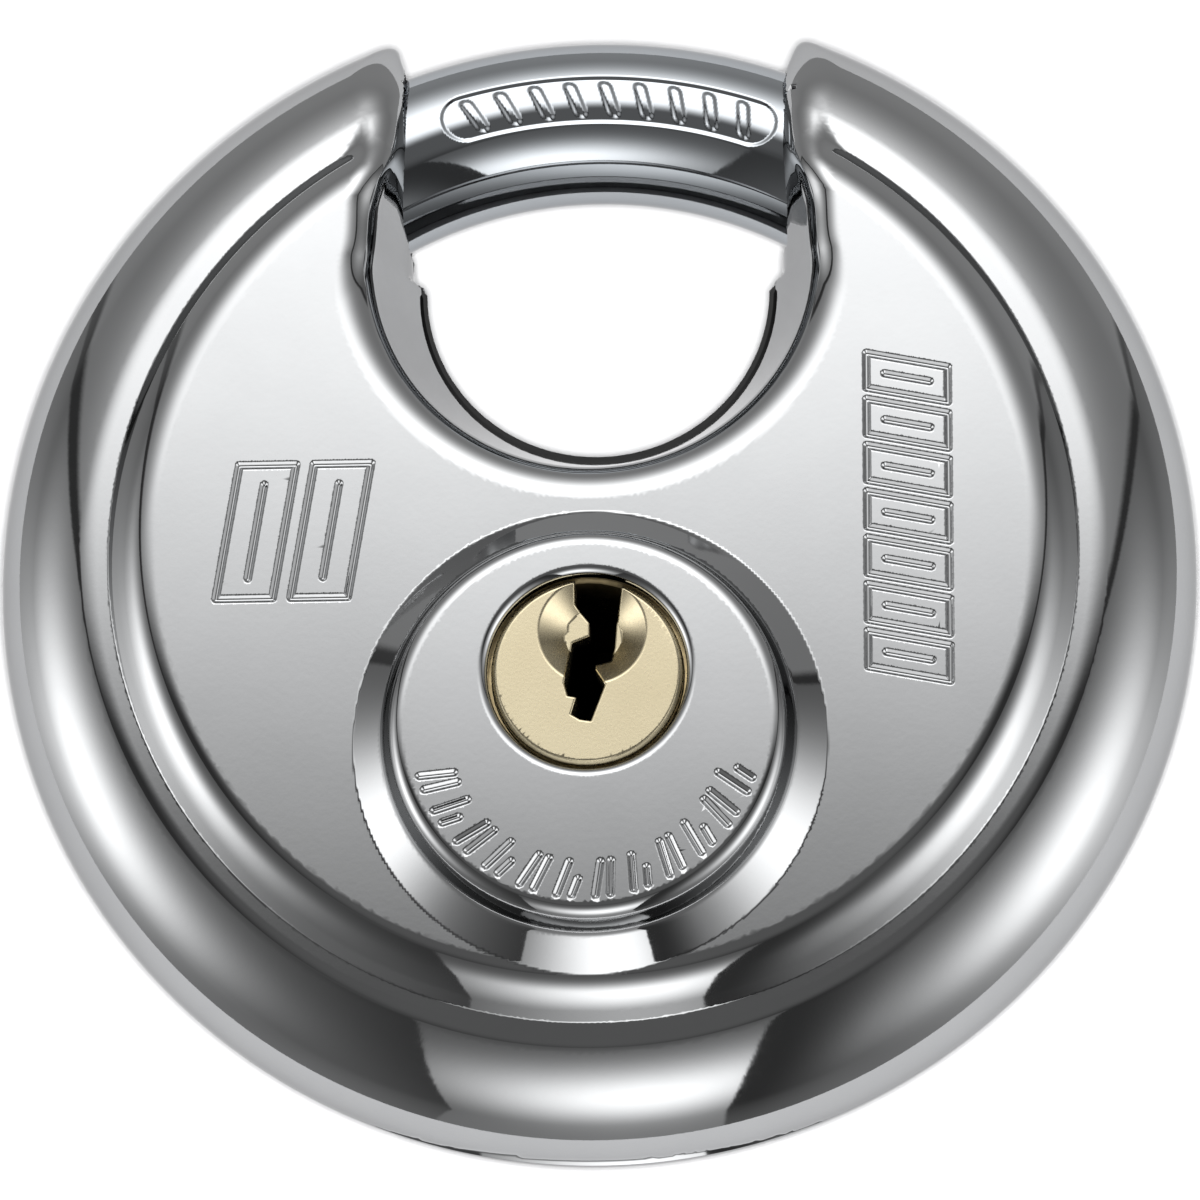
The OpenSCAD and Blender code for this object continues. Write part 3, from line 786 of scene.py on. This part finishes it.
def metal(name, dark, light, rough=(0.1, 0.2), grain=3000.0, bump=0.02, shade=None, seam=None):
    """Bare metal: tone and roughness vary over a noise, with a fine grain as bump.

    shade is a pair of heights (mm) between which the metal darkens into painted shade deep inside.
    seam is the half width (mm) of a dark joint line along the plane where the shells meet."""
    material, t = new_material(name)
    where = t.add("TexCoord").outputs["Object"]
    patch = t.noise(where, PATCH_SCALE, 4.0, 0.6)
    fine = t.noise(where, grain, 2.0, 0.5)
    colour = t.mix(t.ramp(patch, 0.3, 0.7), rgba(*dark), rgba(*light))
    x, y, height = t.add("SeparateXYZ", {0: where}).outputs
    if shade:
        # painted shade: below the lower of the shade heights the metal goes near black
        colour = t.mix(t.ramp(height, shade[0] * MM, shade[1] * MM), PAINTED_SHADE, colour)
    if seam:
        around = t.math("SQRT", t.math("MULTIPLY_ADD", x, x, t.math("MULTIPLY", y, y)))
        off = t.math("ABSOLUTE", t.math("SUBTRACT", height, SEAM * MM))
        off = t.math("MULTIPLY", off, t.ramp(around, *JOINT_THINS, 1.0, JOINT_THINNER))
        colour = t.mix(t.ramp(off, seam * 0.6 * MM, seam * MM), JOINT_LINE, colour)
    rough_value = t.ramp(t.math("MULTIPLY_ADD", fine, 0.5, t.math("MULTIPLY", patch, 0.5)),
                         0.3, 0.7, rough[0], rough[1])
    relief = t.add("Bump", {"Height": fine, "Strength": bump, "Distance": 0.0002})
    shader = t.add("BsdfPrincipled", {"Base Color": colour, "Metallic": 1.0, "Roughness": rough_value,
                                      "Specular Tint": EDGE_TINT, "Normal": relief.outputs["Normal"]})
    t.add("OutputMaterial", {"Surface": shader.outputs["BSDF"]})
    return material


polished = metal("polished_steel", (0.395, 0.4, 0.405), (0.415, 0.42, 0.425), (0.025, 0.05),
                 2500.0, 0.003, seam=0.14)
plated = metal("plated_bar", (0.39, 0.41, 0.43), (0.41, 0.43, 0.45), (0.02, 0.05), 2500.0, 0.003)
# The plug's brass carries painted shade down inside its keyway, darkening from 1.5 mm under its face to
# near black 3.2 mm under it.
turned_brass = metal("turned_brass", (0.53, 0.46, 0.31), (0.58, 0.51, 0.35), (0.24, 0.29), 6000, 0.01,
                     shade=(SEAM + 9.2, SEAM + 10.9))
STYLE = {
    "plain_steel": metal("plain_steel", (0.42, 0.42, 0.42), (0.55, 0.55, 0.54), (0.25, 0.4), 900, 0.1),
    "hard_steel": metal("hard_steel", (0.22, 0.23, 0.24), (0.32, 0.33, 0.34), (0.3, 0.45), 900, 0.1),
    "zinc_steel": metal("zinc_steel", (0.55, 0.56, 0.55), (0.66, 0.66, 0.62), (0.2, 0.35), 700, 0.1),
    "brass": metal("brass", (0.66, 0.56, 0.36), (0.72, 0.62, 0.42), (0.22, 0.34), 1800, 0.06),
    "cylinder_brass": metal("cylinder_brass", (0.58, 0.45, 0.24), (0.66, 0.53, 0.3), (0.25, 0.4), 900, 0.1),
    "pin_brass": metal("pin_brass", (0.7, 0.5, 0.25), (0.78, 0.6, 0.34), (0.15, 0.3), 900, 0.05),
    "die_cast": metal("die_cast", (0.33, 0.33, 0.34), (0.42, 0.42, 0.42), (0.4, 0.6), 500, 0.3),
    "spring_wire": metal("spring_wire", (0.5, 0.5, 0.5), (0.6, 0.6, 0.6), (0.15, 0.3), 900, 0.05),
    "polished_steel": polished,
    "plated_bar": plated,
}
for part in frame["record"]["subparts"]:
    slots = nodes[part["node"]].data.materials
    slots.clear()
    slots.append(STYLE[part["material_slot"]])
for piece, material in ((front, polished), (rear, polished), (bar, plated), (plug, turned_brass)):
    piece.data.materials.append(material)


# ---------------------------------------------------------------- surroundings
def direction(azimuth, elevation):
    a, e = math.radians(azimuth), math.radians(elevation)
    return Vector((math.cos(a) * math.cos(e), math.sin(a) * math.cos(e), math.sin(e)))


def edge_between(a, b):
    """Unit normal of the plane through the origin and two directions, positive on its left."""
    return direction(*a).cross(direction(*b)).normalized()


# Each light panel: its edges as pairs of directions (azimuth, elevation) with the panel on
# the left of each, how soft each edge is, radiance away from and at its brightest spot,
# that spot's direction and its spread in radians.
PANELS = [
    # back
    ([((10, 57.8), (34, -7.5), 0.04), ((140, -13), (159, 43), 0.04), ((90, 77.0), (0, 0), 0.232)],
     0.3, 3.1, (93, 54), 0.31),
    # left
    ([((163.8, 43), (143.6, -13), 0.02), ((-120, 20), (160, 75), 0.5)],
     0.16, 2.6, (-172, 15.5), 0.24),
    # right
    ([((31.6, -7.5), (5.2, 57.8), 0.02), ((-20, 75), (-65, 10), 0.25)],
     0.13, 2.4, (-19.5, 17), 0.275),
    # front
    ([((-76.3, 0), (-59.7, 68), 0.01), ((-59.7, 68), (-132.3, 68.3), 0.05),
      ((-132.3, 68.3), (-111.1, 2.5), 0.01)],
     0.149, 2.4, (-86, 26), 0.245),
]
PANEL_GAIN, HORIZON_LIGHT = 1.15, 0.16
WEDGE_LIGHT, ZENITH_LIGHT = 0.057, 0.185   # radiance between the panels, and straight above
ZENITH = (66, 82)                        # elevations between which it changes to that
TENT_FOOT = 0.073                        # radius where the light tent meets the floor
TENT_LIFT = 0.0004                       # keeps the tent clear of the floor


def panel_light(t, where):
    """Radiance seen from the lock in the direction of the point where."""
    d = t.add("VectorMath", {0: where}, operation="NORMALIZE").outputs["Vector"]
    up = t.add("SeparateXYZ", {0: d}).outputs["Z"]
    low_up, high_up = (math.sin(math.radians(a)) for a in ZENITH)
    light = t.ramp(up, low_up, high_up, WEDGE_LIGHT, ZENITH_LIGHT)
    for edges, low, high, spot, spread in PANELS:
        low, high = low * PANEL_GAIN, high * PANEL_GAIN
        mask = None
        for a, b, soft in edges:
            side = t.dot(d, edge_between(a, b))
            part = t.ramp(side, -soft / 2, soft / 2)
            mask = part if mask is None else t.math("MULTIPLY", mask, part)
        near = t.math("SUBTRACT", t.dot(d, direction(*spot)), 1.0)
        glow = t.math("EXPONENT", t.math("MULTIPLY", near, 1 / spread ** 2))
        value = t.math("MULTIPLY_ADD", glow, high - low, low)
        light = t.math("ADD", t.math("MULTIPLY", light, t.math("SUBTRACT", 1.0, mask)),
                       t.math("MULTIPLY", value, mask))
    return t.math("ADD", light, t.ramp(up, -0.25, 0.1, HORIZON_LIGHT, 0.0))


def add_tent(radius):
    """Dome and a skirt along the floor; both carry the light panels and only show in reflections."""
    rings = [(TENT_FOOT, TENT_LIFT)] + [(radius * math.cos(a), radius * math.sin(a) + TENT_LIFT)
                                        for a in np.linspace(0, math.pi / 2 - 0.01, 40)]
    count = 96
    points = [(r * math.cos(2 * math.pi * k / count), r * math.sin(2 * math.pi * k / count), z)
              for r, z in rings for k in range(count)] + [(0, 0, radius)]
    faces = [(i * count + k, i * count + (k + 1) % count, (i + 1) * count + (k + 1) % count,
              (i + 1) * count + k) for i in range(len(rings) - 1) for k in range(count)]
    last = (len(rings) - 1) * count
    faces += [(last + k, last + (k + 1) % count, len(points) - 1) for k in range(count)]
    mesh = bpy.data.meshes.new("light_tent")
    mesh.from_pydata(points, [], faces)
    tent = bpy.data.objects.new("light_tent", mesh)
    bpy.context.scene.collection.objects.link(tent)
    material, t = new_material("light_tent")
    where = t.add("NewGeometry").outputs["Position"]
    centre = t.add("VectorMath", {0: where, 1: (0, 0, SEAM * MM)}, operation="SUBTRACT")
    glow = t.add("Emission", {"Color": rgba(1, 1, 1), "Strength": panel_light(t, centre.outputs["Vector"])})
    t.add("OutputMaterial", {"Surface": glow.outputs["Emission"]})
    mesh.materials.append(material)
    tent.visible_camera = False
    tent.visible_shadow = False
    tent.visible_diffuse = False


add_tent(1.6)


def add_floor():
    size = 6.0
    mesh = bpy.data.meshes.new("floor")
    h = size / 2
    mesh.from_pydata([(-h, -h, 0), (h, -h, 0), (h, h, 0), (-h, h, 0)], [], [(0, 1, 2, 3)])
    floor = bpy.data.objects.new("floor", mesh)
    bpy.context.scene.collection.objects.link(floor)
    material, t = new_material("floor_paper")
    where = t.add("TexCoord").outputs["Object"]
    tone = t.mix(t.noise(where, 900.0, 3.0, 0.6), rgba(0.24, 0.24, 0.242), rgba(0.26, 0.26, 0.262))
    shader = t.add("BsdfPrincipled", {"Base Color": tone, "Roughness": 0.9})
    t.add("OutputMaterial", {"Surface": shader.outputs["BSDF"]})
    mesh.materials.append(material)


add_floor()

world = bpy.data.worlds.new("studio")
bpy.context.scene.world = world
world.use_nodes = True
world.node_tree.nodes["Background"].inputs["Color"].default_value = rgba(0.95, 0.95, 0.96)
world.node_tree.nodes["Background"].inputs["Strength"].default_value = 0.5

BACK = Vector((0.050, -0.263, 0.963)).normalized()   # from the lock towards the camera
LAMP_SIZE, LAMP_POWER, LAMP_DISTANCE = 0.04, 16.0, 0.61
lamp = bpy.data.lights.new("soft_front", "AREA")
lamp.shape = "DISK"
lamp.size = LAMP_SIZE
lamp.energy = LAMP_POWER
lamp_object = bpy.data.objects.new("soft_front", lamp)
lamp_object.location = BACK * LAMP_DISTANCE
lamp_object.rotation_euler = BACK.to_track_quat("Z", "Y").to_euler()
lamp_object.visible_glossy = False
lamp_object.visible_camera = False
bpy.context.scene.collection.objects.link(lamp_object)

# ---------------------------------------------------------------- camera
DISTANCE = 0.600
LOOK_AT = Vector((0.0001, -0.0012, SEAM * MM))
FRAME_WIDTH = 0.0702                     # width of the view at the point looked at

camera = bpy.data.cameras.new("camera")
camera.sensor_width = 36.0
camera.lens = 36.0 * DISTANCE / FRAME_WIDTH
camera.clip_start = 0.01
camera_object = bpy.data.objects.new("camera", camera)
bpy.context.scene.collection.objects.link(camera_object)
up = (Vector((0, 1, 0)) - BACK * BACK.y).normalized()
right = up.cross(BACK)
place = Matrix((right, up, BACK)).transposed().to_4x4()
place.translation = LOOK_AT + BACK * DISTANCE
camera_object.matrix_world = place
bpy.context.scene.camera = camera_object
bpy.context.scene.view_settings.view_transform = "Standard"
